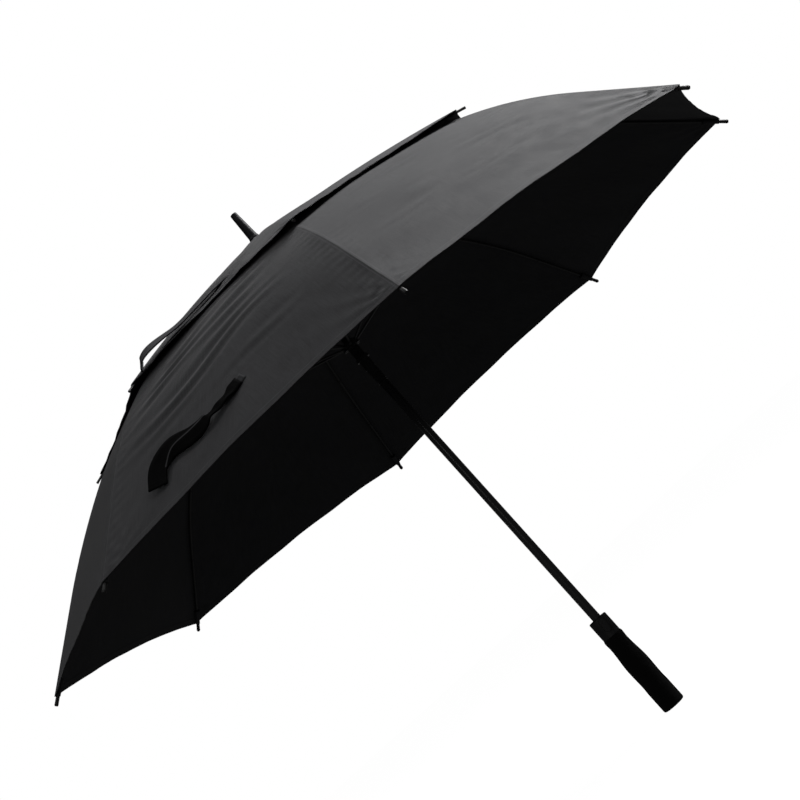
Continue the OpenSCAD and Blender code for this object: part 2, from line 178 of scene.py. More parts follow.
def lower_wrinkle(i, v, s):
    """Height of the folds over the taut lower cloth."""
    width = 2 * rib_at(s)[..., 0] * sind(RIB_STEP / 2)
    d = np.minimum(v, 1 - v) * width
    e = lower_last(v) - s
    side = np.where(v < 0.5, i, i + 1)
    free = np.clip(d / 14, 0, 1)
    h = 0.35 * np.exp(-d / 16) * np.sin(2 * math.pi * s / 17 + side * 1.7) * free
    h += 0.18 * np.exp(-e / 16) * np.sin(v * width / 9 + i)
    # Wrinkles that fan out from each corner, where the cloth is pulled to the rib tip
    tip = np.hypot(e, d)
    fan = np.arctan2(d, np.maximum(e, 1))
    pull = {2: 2.2, 1: 0.6}.get(side_of_tip(i, v), 0.6)
    h += pull * free * np.exp(-tip / 60) * np.clip(tip / 30, 0, 1) * np.sin(fan * 15 + side)
    h += 0.7 * free * ripple(v * width / 170, s / 170, 40 + i)
    if i == GORE_8:
        slack = window(v, 0.25, 0.62, 0.25) * window(s, 420, 545, 75)
        slack = slack * np.clip(0.6 + 0.5 * ripple(v * 2.4, s / 110, 21), 0.05, 1.3)
        wander = 1.5 * ripple(v * 1.6, s / 150, 5)
        h += slack * 1.5 * np.sin(2 * math.pi * (s + 30 * (v - 0.5)) / 29 + wander)
    if i == 1:
        slack = window(v, 0.3, 0.8, 0.25) * window(s, 470, 590, 70)
        slack = slack * np.clip(0.35 + 0.7 * ripple(v * 3, s / 90, 31), 0, 1.2)
        wander = 2.0 * ripple(v * 2, s / 120, 9)
        h += slack * 0.5 * np.sin(2 * math.pi * (s - 40 * (v - 0.5)) / 31 + wander)
    # The hidden part under the upper canopy lies smooth
    return h * (0.2 + 0.8 * np.clip((s - 330) / 60, 0, 1))


def upper_wrinkle(i, v, s):
    """Height of the folds over the taut upper cloth."""
    width = 2 * np.maximum(vent_at(s)[..., 0], 8) * sind(RIB_STEP / 2)
    d = np.minimum(v, 1 - v) * width
    e = upper_last(v) - s
    side = np.where(v < 0.5, i, i + 1)
    free = np.clip(d / 14, 0, 1) * np.clip(s / 40, 0, 1)
    h = 0.3 * np.exp(-d / 14) * np.sin(2 * math.pi * s / 15 + side * 1.3) * free
    h += 0.5 * np.exp(-e / 14) * np.sin(v * width / 8 + i) * free
    tip = np.hypot(e, d)
    fan = np.arctan2(d, np.maximum(e, 1))
    h += free * np.exp(-tip / 50) * np.clip(tip / 25, 0, 1) * np.sin(fan * 15)
    h += 0.6 * free * ripple(v * width / 120, s / 120, 70 + i)
    if i == GORE_8:
        slack = window(v, 0.2, 0.6, 0.2) * window(s, 240, 370, 50)
        h += 1.1 * slack * np.sin(2 * math.pi * s / 24)
    return h


def lower_taut(i, v, s):
    a = rib_slope(s)
    line = rib_at(s) + (RIB_R + 2 + CLOTH / 2) * above(a)
    u = (s - OPENING_S) / (lower_last(v) - OPENING_S)
    return gore(line, GORE_PUFF * sind(180 * u), i, v)


def upper_taut(i, v, s):
    out = np.maximum(s, 0)
    lift = 2.8 + 2.6 * np.maximum(0, 1 - out / 45) + CLOTH / 2
    line = vent_at(out) + lift[..., None] * above(vent_slope(out))
    flat = np.stack([VENT_PIVOT[0] + s, np.full_like(s, NOTCH_HIGH + 0.7 + CLOTH / 2)], -1)
    line = np.where((s < 0)[..., None], flat, line)
    return gore(line, 0, i, v)


def unit(vectors):
    return vectors / np.linalg.norm(vectors, axis=-1, keepdims=True)


def normal_of(surface, i, v, s, dv=0.002, ds=1.0):
    """Unit normals of a surface, from its slopes over a small step each way."""
    v0, v1 = np.clip(v - dv, 0, 1), np.clip(v + dv, 0, 1)
    across = surface(i, v1, s) - surface(i, v0, s)
    down = surface(i, v, s + ds) - surface(i, v, s - ds)
    return unit(np.cross(down, across))


def lower_surface(i, v, s):
    return lower_taut(i, v, s) + normal_of(lower_taut, i, v, s) * lower_wrinkle(i, v, s)[..., None]


def upper_surface(i, v, s):
    return upper_taut(i, v, s) + normal_of(upper_taut, i, v, s) * upper_wrinkle(i, v, s)[..., None]


# ---------------------------------------------------------------- materials


class Nodes:
    """Short calls that build one material's node tree."""

    def __init__(self, name, slot_color):
        self.mat = bpy.data.materials.new(name)
        self.mat.use_nodes = True
        self.tree = self.mat.node_tree
        self.bsdf = self.tree.nodes["Principled BSDF"]
        self.mat.diffuse_color = (*slot_color, 1)

    def node(self, kind, **props):
        n = self.tree.nodes.new(kind)
        for k, x in props.items():
            setattr(n, k, x)
        return n

    def put(self, socket, value):
        if isinstance(value, bpy.types.NodeSocket):
            self.tree.links.new(value, socket)
        elif isinstance(value, (tuple, list)) and socket.type == "RGBA":
            socket.default_value = (*value, 1) if len(value) == 3 else value
        else:
            socket.default_value = value

    def math(self, op, a, b=0.0, c=0.0, clamp=False):
        n = self.node("ShaderNodeMath", operation=op, use_clamp=clamp)
        for k, x in enumerate((a, b, c)):
            self.put(n.inputs[k], x)
        return n.outputs[0]

    def mix(self, factor, a, b):
        n = self.node("ShaderNodeMix", data_type="RGBA")
        self.put(n.inputs[0], factor)
        self.put(n.inputs[6], a)
        self.put(n.inputs[7], b)
        return n.outputs[2]

    def ramp(self, value, lo, hi, out_lo=0.0, out_hi=1.0):
        n = self.node("ShaderNodeMapRange", interpolation_type="SMOOTHSTEP")
        for k, x in enumerate((value, lo, hi, out_lo, out_hi)):
            self.put(n.inputs[k], x)
        return n.outputs[0]

    def noise(self, vector, scale, detail=3.0, rough=0.5):
        n = self.node("ShaderNodeTexNoise")
        self.put(n.inputs["Vector"], vector)
        self.put(n.inputs["Scale"], scale)
        self.put(n.inputs["Detail"], detail)
        self.put(n.inputs["Roughness"], rough)
        return n.outputs[0]

    def cells(self, vector, scale):
        n = self.node("ShaderNodeTexVoronoi", feature="F1")
        self.put(n.inputs["Vector"], vector)
        self.put(n.inputs["Scale"], scale)
        return n.outputs["Distance"]

    def place(self):
        return self.node("ShaderNodeTexCoord").outputs["Object"]

    def uv(self, name):
        split = self.node("ShaderNodeSeparateXYZ")
        self.put(split.inputs[0], self.node("ShaderNodeUVMap", uv_map=name).outputs[0])
        return split.outputs[0], split.outputs[1]

    def stretch(self, vector, scale):
        n = self.node("ShaderNodeMapping")
        self.put(n.inputs["Vector"], vector)
        n.inputs["Scale"].default_value = scale
        return n.outputs[0]

    def bump(self, height, strength, distance, under=None):
        n = self.node("ShaderNodeBump")
        n.inputs["Strength"].default_value = strength
        n.inputs["Distance"].default_value = distance
        self.put(n.inputs["Height"], height)
        if under is not None:
            self.put(n.inputs["Normal"], under)
        return n.outputs[0]

    def finish(self, **sockets):
        for k, x in sockets.items():
            self.put(self.bsdf.inputs[k.replace("_", " ")], x)
        return self.mat


# Metres: how far the stitches run from the seam and from the hem, half their width, and their pitch
SEAM_STITCH, HEM_STITCH, STITCH_HALF, STITCH_PITCH = 0.0029, 0.0088, 0.00045, 0.0027


def dashes(m, place_along, offset, at):
    """Mask of a row of stitches at one distance from an edge."""
    off = m.math("ABSOLUTE", m.math("SUBTRACT", offset, at))
    line = m.ramp(off, STITCH_HALF, STITCH_HALF * 0.4)
    step = m.math("PINGPONG", place_along, STITCH_PITCH / 2)
    return m.math("MULTIPLY", line, m.ramp(step, STITCH_PITCH * 0.11, STITCH_PITCH * 0.2))


def pongee(name, color, thread=0.00042, twill=0.0, sheen=0.06, specular=0.16, stitching=None, rim=None):
    """Plain woven polyester with stitched seams. UV map cloth is the place on the cloth in metres,
    and UV map edge the distances from the rib seam and from the hem."""
    m = Nodes(name, color)
    x, y = m.uv("cloth")
    seam, hem = m.uv("edge")
    warp = m.math("SINE", m.math("MULTIPLY", x, 2 * math.pi / thread))
    shifted = m.math("ADD", y, m.math("MULTIPLY", x, twill)) if twill else y
    weft = m.math("SINE", m.math("MULTIPLY", shifted, 2 * math.pi / thread))
    weave = m.math("MULTIPLY", warp, weft)
    place = m.place()
    slub = m.noise(m.stretch(place, (40, 40, 40)), 1.0, 4.0, 0.6)
    both = m.node("ShaderNodeCombineXYZ")
    m.put(both.inputs[0], m.math("MULTIPLY", x, 900))
    m.put(both.inputs[1], m.math("MULTIPLY", y, 26))
    streak = m.noise(both.outputs[0], 1.0, 2.0)
    stitch = m.math("MAXIMUM", dashes(m, y, seam, SEAM_STITCH), dashes(m, x, hem, HEM_STITCH))
    tone = m.math("ADD", m.math("MULTIPLY", slub, 0.5), m.math("MULTIPLY", streak, 0.5))
    # light is the lighter tone for the random slubs and for the painted weave highlight below
    light = tuple(c * 1.35 for c in color)
    dark = tuple(c * 0.72 for c in color)
    base = m.mix(m.ramp(tone, 0.3, 0.7), dark, light)
    # The raised crossings of the weave are painted lighter: a painted highlight on the thread crowns
    base = m.mix(m.math("MULTIPLY", m.ramp(weave, -1.0, 1.0), 0.35), base, light)
    base = m.mix(stitch, base, stitching or tuple(c * 2.1 + 0.004 for c in color))
    if rim:
        # A painted highlight along the crease of a folded tape, where its raised edge catches the light
        base = m.mix(m.ramp(seam, 0.0013, 0.0006), base, rim)
    rough = m.math("ADD", m.ramp(slub, 0.3, 0.75, 0.72, 0.84), m.math("MULTIPLY", weave, 0.04))
    beside = m.math("ABSOLUTE", m.math("SUBTRACT", seam, SEAM_STITCH))
    pucker = m.math("MULTIPLY", m.ramp(beside, 0.004, 0.0),
                    m.math("SINE", m.math("MULTIPLY", y, 2 * math.pi / 0.006)))
    height = m.math("ADD", m.math("MULTIPLY", weave, 0.10),
                    m.math("ADD", m.math("MULTIPLY", slub, 0.35), m.math("MULTIPLY", pucker, 0.10)))
    height = m.math("ADD", height, m.math("MULTIPLY", stitch, 0.5))
    return m.finish(Base_Color=base, Roughness=rough, Normal=m.bump(height, 0.5, 0.0006),
                    Sheen_Weight=sheen, Sheen_Roughness=0.5, Specular_IOR_Level=specular)


def hard(name, color, rough, grain=900.0, depth=0.00006, streaks=None, wear=0.0, metal=0.0, coat=0.0,
         specular=0.5):
    """Moulded, drawn or painted stuff: fine grain, long streaks where it is drawn, and rubbed patches."""
    m = Nodes(name, color)
    place = m.place()
    long = m.stretch(place, streaks or (60, 60, 60))
    cloud = m.noise(long, 1.0, 4.0, 0.55)
    fine = m.noise(place, grain, 2.0, 0.5)
    rub = m.ramp(m.noise(place, 38.0, 5.0, 0.65), 0.56, 0.72)
    base = m.mix(m.ramp(cloud, 0.3, 0.7), tuple(c * 0.8 for c in color), tuple(c * 1.25 for c in color))
    base = m.mix(m.math("MULTIPLY", rub, wear), base, tuple(min(1, c * 2.2 + 0.02) for c in color))
    r = m.math("ADD", m.ramp(cloud, 0.25, 0.75, rough - 0.08, rough + 0.08),
               m.math("MULTIPLY", rub, 0.10), clamp=True)
    height = m.math("ADD", m.math("MULTIPLY", fine, 0.7), m.math("MULTIPLY", cloud, 0.6))
    return m.finish(Base_Color=base, Roughness=r, Metallic=metal, Coat_Weight=coat, Coat_Roughness=0.12,
                    Specular_IOR_Level=specular, Normal=m.bump(height, 0.6, depth))


def foam(name, color):
    """Closed-cell foam: a matt skin of fine cells, rubbed a little lighter in random patches."""
    m = Nodes(name, color)
    place = m.place()
    cell = m.cells(place, 1500.0)
    pore = m.cells(place, 520.0)
    cloud = m.noise(place, 45.0, 4.0, 0.6)
    base = m.mix(m.ramp(cloud, 0.3, 0.7), tuple(c * 0.75 for c in color), tuple(c * 1.4 for c in color))
    # The pores are painted darker: painted shade in the pits of the foam
    base = m.mix(m.ramp(pore, 0.0, 0.22, 0.55, 0.0), base, tuple(c * 0.3 for c in color))
    height = m.math("ADD", m.math("MULTIPLY", m.ramp(cell, 0.0, 0.6), 0.4),
                    m.math("ADD", m.ramp(pore, 0.05, 0.25, 0.0, 0.5), m.math("MULTIPLY", cloud, 0.8)))
    return m.finish(Base_Color=base, Roughness=m.ramp(cloud, 0.2, 0.8, 0.82, 0.95),
                    Normal=m.bump(height, 0.5, 0.0002), Sheen_Weight=0.03, Sheen_Roughness=0.6,
                    Specular_IOR_Level=0.12)


CANOPY = pongee("canopy_cloth", (0.030, 0.030, 0.032))
STRAP = pongee("strap_cloth", (0.020, 0.020, 0.022), thread=0.0009, twill=1.0, sheen=0.04, specular=0.10,
               stitching=(0.004, 0.004, 0.004))
# rim is a painted highlight along the tape's crease
LOOP_TAPE = pongee("loop_tape", (0.0015, 0.0015, 0.0016), thread=0.0009, twill=1.0, sheen=0.0, specular=0.03,
                   stitching=(0.004, 0.004, 0.004), rim=(0.045, 0.045, 0.047))
LOOP = foam("hook_and_loop", (0.002, 0.002, 0.002))
THREAD = hard("thread", (0.02, 0.02, 0.022), 0.7, grain=2500, depth=0.0001)
SHAFT = hard("shaft_fibreglass", (0.012, 0.012, 0.013), 0.27, streaks=(900, 900, 9), depth=0.00003,
             wear=0.15, coat=0.3)
ROD = hard("rib_fibreglass", (0.008, 0.008, 0.008), 0.42, streaks=(500, 500, 500), depth=0.00004, wear=0.2)
MOULDING = hard("moulding", (0.014, 0.014, 0.015), 0.3, grain=1400, wear=0.25, coat=0.15)
FERRULE = hard("ferrule_gloss", (0.010, 0.010, 0.011), 0.34, grain=500, depth=0.00001, wear=0.15,
               specular=0.06)
HANDLE = hard("handle_plastic", (0.014, 0.014, 0.015), 0.5, grain=2200, depth=0.00005, wear=0.15,
              specular=0.3)
BUTTON = hard("button_plastic", (0.018, 0.018, 0.019), 0.4, grain=1500, wear=0.2, specular=0.3)
TIP = hard("tip_plastic", (0.010, 0.010, 0.010), 0.5, grain=1500, wear=0.35, specular=0.25)
STEEL = hard("steel_wire", (0.55, 0.56, 0.58), 0.3, metal=1.0, streaks=(220, 220, 220), depth=0.00003,
             wear=0.2)
STRETCHER = hard("stretcher_paint", (0.010, 0.010, 0.010), 0.38, grain=1000, wear=0.3, coat=0.1)
GRIP = foam("grip_foam", (0.003, 0.003, 0.003))


def dress(material, *names):
    for n in names:
        node = NODES[n]
        if not node.material_slots:
            node.data.materials.append(None)
        for slot in node.material_slots:
            slot.material = material


dress(SHAFT, "shaft")
dress(FERRULE, "ferrule", "ferrule_collar")
dress(MOULDING, "top_notch", "runner")
dress(STEEL, "notch_wires", "runner_wire", "spring_plunger", "catch_plate")
dress(HANDLE, "handle_collar", "handle_core", "end_cap")
dress(BUTTON, "push_button")
dress(GRIP, "grip")
for i in RIBS:
    dress(ROD, f"rib_inner_{i}", f"rib_outer_{i}", f"vent_rib_{i}")
    dress(TIP, f"rib_tip_{i}")
    dress(STRETCHER, f"stretcher_{i}")


# ---------------------------------------------------------------- mesh helpers


def mesh_object(name, points, faces, material, normals=None, uvs=None):
    """points in millimetres. uvs maps a UV layer's name to one pair per point."""
    me = bpy.data.meshes.new(name)
    me.from_pydata((np.asarray(points) * MM).tolist(), [], faces)
    me.materials.append(material)
    loops = np.empty(len(me.loops), np.int32)
    me.loops.foreach_get("vertex_index", loops)
    for layer, pairs in (uvs or {}).items():
        data = me.uv_layers.new(name=layer).data
        data.foreach_set("uv", np.asarray(pairs, np.float32)[loops].ravel())
    me.polygons.foreach_set("use_smooth", [True] * len(me.polygons))
    if normals is not None:
        me.normals_split_custom_set_from_vertices(np.asarray(normals).tolist())
    me.update()
    ob = bpy.data.objects.new(name, me)
    bpy.context.scene.collection.objects.link(ob)
    return ob


def grid_faces(rows, cols, start=0, flip=False, wrap=False):
    """Quads of a grid of points. wrap joins its last column to its first."""
    faces = []
    for r in range(rows - 1):
        for c in range(cols if wrap else cols - 1):
            a, b = start + r * cols + c, start + r * cols + (c + 1) % cols
            q = (a, a + cols, b + cols, b)
            faces.append(q[::-1] if flip else q)
    return faces


def shell_faces(rows, cols):
    """A closed thin shell: the top grid, the under grid after it, and the four edge walls."""
    n = rows * cols
    faces = grid_faces(rows, cols) + grid_faces(rows, cols, n, True)
    rim = [r * cols for r in range(rows)] + [(rows - 1) * cols + c for c in range(1, cols)]
    rim += [r * cols + cols - 1 for r in range(rows - 2, -1, -1)] + [c for c in range(cols - 2, 0, -1)]
    for a, b in zip(rim, rim[1:] + rim[:1]):
        faces.append((b, a, a + n, b + n))
    return faces


# ---------------------------------------------------------------- canopies
SEAM_COLUMNS = [0.0, 3.0, 5.5, 6.5, 14.0]
HEM_ROWS = [14.0, 10.5, 9.5, 1.0, 0.0]
RIB_RADIUS = {"lower": lambda s: rib_at(s)[..., 0],
              "upper": lambda s: np.maximum(vent_at(np.maximum(s, 0))[..., 0], 15)}
SURFACE = {"lower": lower_surface, "upper": upper_surface}
TAUT = {"lower": lower_taut, "upper": upper_taut}
LAST = {"lower": lower_last, "upper": upper_last}
FIRST = {"lower": OPENING_S, "upper": NOTCH_EDGE_R - VENT_PIVOT[0]}


def half_gore_grid(kind, s_from, s_to, step, column):
    """Rows and columns of one half of a gore: v across it, s along the rib, and d from the seam."""
    mid_s = (s_from + (s_to or float(LAST[kind](0.5)))) / 2
    half = RIB_RADIUS[kind](np.array(mid_s)) * sind(RIB_STEP / 2)
    seam = [d for d in SEAM_COLUMNS if d < half * 0.6]
    plain = max(3, int(round((half - seam[-1]) / column)))
    share = np.linspace(0, 1, plain + 1)[1:]
    tail = [h for h in HEM_ROWS if s_to is None]
    s_end = s_to if s_to is not None else float(LAST[kind](0.0)) - tail[0]
    count = max(2, int(round((s_end - s_from) / step)))
    rows = count + 1 + len(tail[1:])
    cols = len(seam) + plain
    v, s, d = np.zeros((rows, cols)), np.zeros((rows, cols)), np.zeros((rows, cols))
    for r in range(rows):
        # The rows follow the curve of the hem more and more towards it
        for _ in range(3):
            if s_to is None:
                end = LAST[kind](v[r]) - (tail[0] if r <= count else tail[r - count])
                s[r] = s_from + (end - s_from) * min(1, r / count)
            else:
                s[r] = s_from + (s_to - s_from) * r / count
            half_r = RIB_RADIUS[kind](s[r]) * sind(RIB_STEP / 2)
            narrow = half_r.min()
            fixed = np.concatenate([seam, seam[-1] + share * (narrow - seam[-1])])
            if narrow < seam[-1] + 2:
                squeezed = np.array(seam) * narrow / (seam[-1] * 2)
                fixed = np.concatenate([squeezed, (0.5 + share / 2) * narrow])
            v[r] = np.clip(fixed / fixed[-1] * 0.5, 0, 0.5)
            d[r] = v[r] * 2 * half_r
    return v, s, d


def up_normal(surface, i, v, s, dv, ds):
    """Normals that point up and outwards."""
    n = normal_of(surface, i, v, s, dv, ds)
    return n * np.where(n[..., 2:3] < 0, -1, 1)


def twice(maps):
    """UV pairs in metres for a shell's top grid and the same again for its under grid."""
    return {k: np.concatenate([np.stack(np.broadcast_arrays(*pair), -1).reshape(-1, 2)] * 2) * MM
            for k, pair in maps.items()}


def stacked(*grids):
    return np.concatenate([grid.reshape(-1, 3) for grid in grids])


def half_gore(name, kind, rib, side, s_from, s_to, step, column):
    """One half of a gore: side 1 is the half after the rib, side -1 the half before it.
    s_to None ends at the hem."""
    i = rib if side > 0 else (rib - 2) % 8 + 1
    v, s, d = half_gore_grid(kind, s_from, s_to, step, column)
    rows, cols = v.shape
    if side < 0:
        v = 1 - v
    e = LAST[kind](v) - s
    p = SURFACE[kind](i, v, s)
    n = up_normal(SURFACE[kind], i, v, s, 0.004, 1.5)
    # A felled seam on the rib and a folded hem make the cloth thicker there
    seam_up = 0.35 * window(d, -1, 3.4, 1.4)
    hem_up = 0.35 * window(e, -1, 9.8, 0.9)
    seam_down = 0.7 * window(d, -1, 5.6, 1.0)
    hem_down = 0.8 * window(e, -1, 9.8, 0.9)
    top = p + n * (CLOTH_HALF + np.maximum(seam_up, hem_up))[..., None]
    under = p - n * (CLOTH_HALF + np.maximum(seam_down, hem_down))[..., None]
    faces = shell_faces(rows, cols)
    if side < 0:
        faces = [f[::-1] for f in faces]
    ob = mesh_object(name, stacked(top, under), faces, CANOPY, stacked(n, -n),
                     twice({"cloth": (side * d, s), "edge": (d, e)}))
    cell = np.linalg.norm(np.cross(p[1:, :-1] - p[:-1, :-1], p[:-1, 1:] - p[:-1, :-1]), axis=-1)
    area = float(cell.sum()) * MM * MM
    length = float(np.linalg.norm(np.diff(p[:, 0], axis=0), axis=-1).sum()) * MM
    width = float(max(np.linalg.norm(np.diff(p, axis=1), axis=-1).sum(1))) * MM
    return ob, (width, length), area


def fold(piece):
    """Gives the cloth piece a mesh of its own."""
    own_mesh(piece)


CROWN_S = 2.0
COLUMN, ROW, FINE_ROW = 9, 8.0, 4.5
# Name, surface, first and last place along the rib, stretch, body, node it lies on, node it stands for
CLOTHS = [("lower_inner", "lower", OPENING_S, INNER_LENGTH, "inner", "rib", "rib_inner", "lower_canopy"),
          ("lower_outer", "lower", INNER_LENGTH, None, "outer", "rib_end", "rib_outer", None),
          ("upper", "upper", CROWN_S, None, "vent", "vent_rib", "vent_rib", "upper_canopy")]


def canopy_halves(rib, side, word):
    """The three cloths on one side of a rib."""
    creased_gore = (rib, side) in ((GORE_8, 1), (1, -1))
    for name, kind, s_from, s_to, stretch, body, node, replaced in CLOTHS:
        ob, size, area = half_gore(f"{name}_{word}_{rib}", kind, rib, side, s_from, s_to,
                                   FINE_ROW if creased_gore else ROW, COLUMN)
        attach(ob, f"{body}_{rib}")
        fold(ob)
        if replaced and rib == 1 and side > 0:
            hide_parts(replaced)


for rib in RIBS:
    canopy_halves(rib, 1, "after")
    canopy_halves(rib, -1, "before")


def crown_patch():
    """A ring of doubled cloth round the shaft, over the notch."""
    base, steps, edge_r = NOTCH_HIGH + 0.7, 64, 19.6
    profile = [(NOTCH_EDGE_R, base), (14.5, base), (19.5, base - 0.6), (edge_r, base - 0.1),
               (14.6, base + 0.6), (NOTCH_EDGE_R, base + 0.6)]
    n = len(profile)
    turns = [360 * k / steps for k in range(steps)]
    points = [(r * cosd(a), r * sind(a), z) for a in turns for r, z in profile]
    cloth = [(r * math.radians(a) * MM, r * MM) for a in turns for r, z in profile]
    faces = [(k * n + j, (k + 1) % steps * n + j, (k + 1) % steps * n + (j + 1) % n, k * n + (j + 1) % n)
             for k in range(steps) for j in range(n)]
    ob = mesh_object("crown_patch", points, faces, CANOPY, None,
                     {"cloth": cloth, "edge": [(0.05, 0.05)] * len(points)})
    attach(ob, "frame")


crown_patch()

# ---------------------------------------------------------------- straps
# Each point is the place across the gore, the place down it, and the height over the cloth
LOWER_ROUTE = [(0.54, 0.825, 1.2), (0.465, 0.855, 5), (0.405, 0.865, 8), (0.35, 0.86, 9), (0.29, 0.84, 9),
               (0.25, 0.845, 8), (0.225, 0.865, 7), (0.217, 0.91, 4)]
UPPER_ROUTE = [(0.555, 0.85, 1.2), (0.50, 0.89, 3), (0.42, 0.90, 3.5), (0.34, 0.92, 4.5), (0.27, 0.95, 6),
               (0.20, 0.965, 10.5), (0.145, 0.97, 13), (0.10, 0.97, 13), (0.068, 0.97, 10),
               (0.052, 0.965, 5.5), (0.046, 0.96, 1)]


def smooth_route(route, count):
    """Points along a soft curve through the route's knots."""
    knots = np.array(route, float)
    beyond = np.concatenate([[2 * knots[0] - knots[1]], knots, [2 * knots[-1] - knots[-2]]])
    out = []
    for x in np.linspace(0, len(route) - 1, count):
        k = min(int(x), len(route) - 2)
        f = x - k
        p0, p1, p2, p3 = beyond[k:k + 4]
        out.append(0.5 * (2 * p1 + (p2 - p0) * f + (2 * p0 - 5 * p1 + 4 * p2 - p3) * f**2
                          + (3 * p1 - p0 - 3 * p2 + p3) * f**3))
    return np.array(out)


def down_gore(kind, v, u):
    """Place along the rib from u, the share of the way from the cloth's start to its hem."""
    return FIRST[kind] + (LAST[kind](v) - FIRST[kind]) * u


def strap_path(kind, route, twist, thick, count):
    """The middle line of a band over the cloth, with its sideways and upright directions."""
    knots = smooth_route(route, count)
    s = down_gore(kind, knots[:, 0], knots[:, 1])
    n = up_normal(TAUT[kind], GORE_8, knots[:, 0], s, 0.01, 4)
    centre = TAUT[kind](GORE_8, knots[:, 0], s) + n * (CLOTH / 2 + thick / 2 + knots[:, 2])[:, None]
    for _ in range(5):
        centre[1:-1] = (centre[:-2] + 2 * centre[1:-1] + centre[2:]) / 4
    ahead = unit(np.gradient(centre, axis=0))
    # The band's upright is carried along the route, so it stays sound where the route drops to the cloth
    up = n.copy()
    for k in range(count):
        carried = up[max(k - 1, 0)]
        up[k] = unit(carried - ahead[k] * (carried @ ahead[k]))
    side = np.cross(ahead, up)
    roll = np.radians([twist(x) for x in np.linspace(0, 1, count)])[:, None]
    return centre, side * np.cos(roll) + up * np.sin(roll), up * np.cos(roll) - side * np.sin(roll)


def strap(name, kind, route, twist, width, body, material, crease=None):
    """A folded and stitched band along a route, with its roll and width at t from 0 to 1. A crease runs
    from one edge of the band to the other, and the band slopes down past it."""
    thick, count, cols = 1.3, 72, 9
    centre, side, up = strap_path(kind, route, twist, thick, count)
    t = np.linspace(0, 1, count)
    half = np.array([width(x) for x in t])[:, None] / 2
    part = np.linspace(-1, 1, cols)[None]
    middle = np.array([crease(x) if crease else 0.0 for x in t])[:, None]
    across = np.where(part < 0, middle + part * (1 + middle), middle + part * (1 - middle))
    slope = 0.42 * window(t, 0.36, 0.70, 0.16)[:, None] if crease else 0
    drop = np.minimum(across - middle, 0) * half * slope
    edge = (1 - np.abs(across)) * half
    # The hems along both edges are thicker
    bulge = thick / 2 + np.where(edge < 1.2, 0.25, 0)
    if crease:
        # Past the crease the edge map measures from it, so the tape's painted highlight runs along the
        # crease in the band's middle stretch
        edge = np.abs(across - middle) * half + 10 * (1 - window(t, 0.24, 0.80, 0.08))[:, None]
    flat = centre[:, None] + side[:, None] * (across * half)[..., None] + up[:, None] * drop[..., None]
    top, under = flat + up[:, None] * bulge[..., None], flat - up[:, None] * bulge[..., None]
    step = np.concatenate([[0], np.linalg.norm(np.diff(centre, axis=0), axis=1)]).cumsum()
    end = np.minimum(step, step[-1] - step)[:, None]
    ob = mesh_object(name, stacked(top, under), [f[::-1] for f in shell_faces(count, cols)], material, None,
                     twice({"cloth": (across * half, step[:, None]), "edge": (edge, end)}))
    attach(ob, body)
    return ob, (centre, side, up, step)


def ease(x, a, b):
    t = np.clip((x - a) / (b - a), 0, 1)
    return t * t * (3 - 2 * t)


lower_strap, low_path = strap(
    "strap_lower_band", "lower", LOWER_ROUTE,
    twist=lambda t: 20 * ease(t, 0.40, 0.75) + 13 * math.sin(52 * t) * window(t, 0.08, 0.24, 0.06),
    width=lambda t: 19 - 8 * window(t, 0.15, 0.20, 0.09) + 8 * ease(t, 0.28, 0.6),
    body="rib_end_8", material=LOOP_TAPE, crease=lambda t: 0.88 - 1.76 * ease(t, 0.22, 0.86))
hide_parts("strap_lower")
fold(lower_strap)

upper_strap, _ = strap(
    "strap_upper_band", "upper", UPPER_ROUTE,
    twist=lambda t: 8 * math.sin(math.pi * t) + 10 * ease(t, 0.4, 0.7),
    width=lambda t: 25.0,
    body="vent_rib_8", material=STRAP)
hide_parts("strap_upper")
fold(upper_strap)


def patch(name, kind, start, end, body):
    """A doubled piece of cloth sewn on under the fixed end of a strap, running from start to end."""
    rows, cols, width = 9, 7, 17
    a, b = np.array(start), np.array(end)
    line = a + (b - a) * np.linspace(0, 1, rows)[:, None]
    gore_width = RIB_RADIUS[kind](down_gore(kind, *a)) * 2 * sind(RIB_STEP / 2)
    gore_length = LAST[kind](a[0]) - FIRST[kind]
    ahead = (b - a) * np.array([gore_width, gore_length])
    length = float(np.linalg.norm(ahead))
    ahead /= length
    cross = np.linspace(-width / 2, width / 2, cols)[None]
    v = line[:, :1] - cross * ahead[1] / gore_width
    s = down_gore(kind, v, line[:, 1:] + cross * ahead[0] / gore_length)
    n = up_normal(SURFACE[kind], GORE_8, v, s, 0.004, 1.5)
    base = SURFACE[kind](GORE_8, v, s)
    ends = np.minimum(np.arange(rows), np.arange(rows)[::-1])[:, None] * length / (rows - 1)
    ob = mesh_object(name, stacked(base + n * 0.95, base + n * 0.35), shell_faces(rows, cols), STRAP, None,
                     twice({"cloth": (cross, np.linspace(0, length, rows)[:, None]),
                            "edge": (width / 2 - np.abs(cross), ends + 5.9)}))
    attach(ob, body)
    fold(ob)


def hook_pad(name, path, t0, t1, width, lift):
    """A hook-and-loop pad sewn on the free end of the lower strap."""
    centre, side, up, step = path
    k0, k1 = (int(round(t * (len(centre) - 1))) for t in (t0, t1))
    rows, cols = k1 - k0 + 1, 5
    across = np.linspace(-1, 1, cols)
    mid = centre[k0:k1 + 1, None] + side[k0:k1 + 1, None] * (across[None] * width / 2)[..., None]
    lean = up[k0:k1 + 1, None]
    ob = mesh_object(name, stacked(mid + lean * (lift + 0.6), mid + lean * (lift - 0.6)),
                     [f[::-1] for f in shell_faces(rows, cols)], LOOP)
    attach(ob, "rib_end_8")
    fold(ob)


patch("strap_lower_patch", "lower", (0.555, 0.817), (0.50, 0.84), "rib_end_8")
patch("strap_upper_patch", "upper", (0.575, 0.838), (0.52, 0.875), "vent_rib_8")
hook_pad("strap_lower_hooks", low_path, 0.80, 0.985, 20, -1.2)

# ---------------------------------------------------------------- ties and pockets


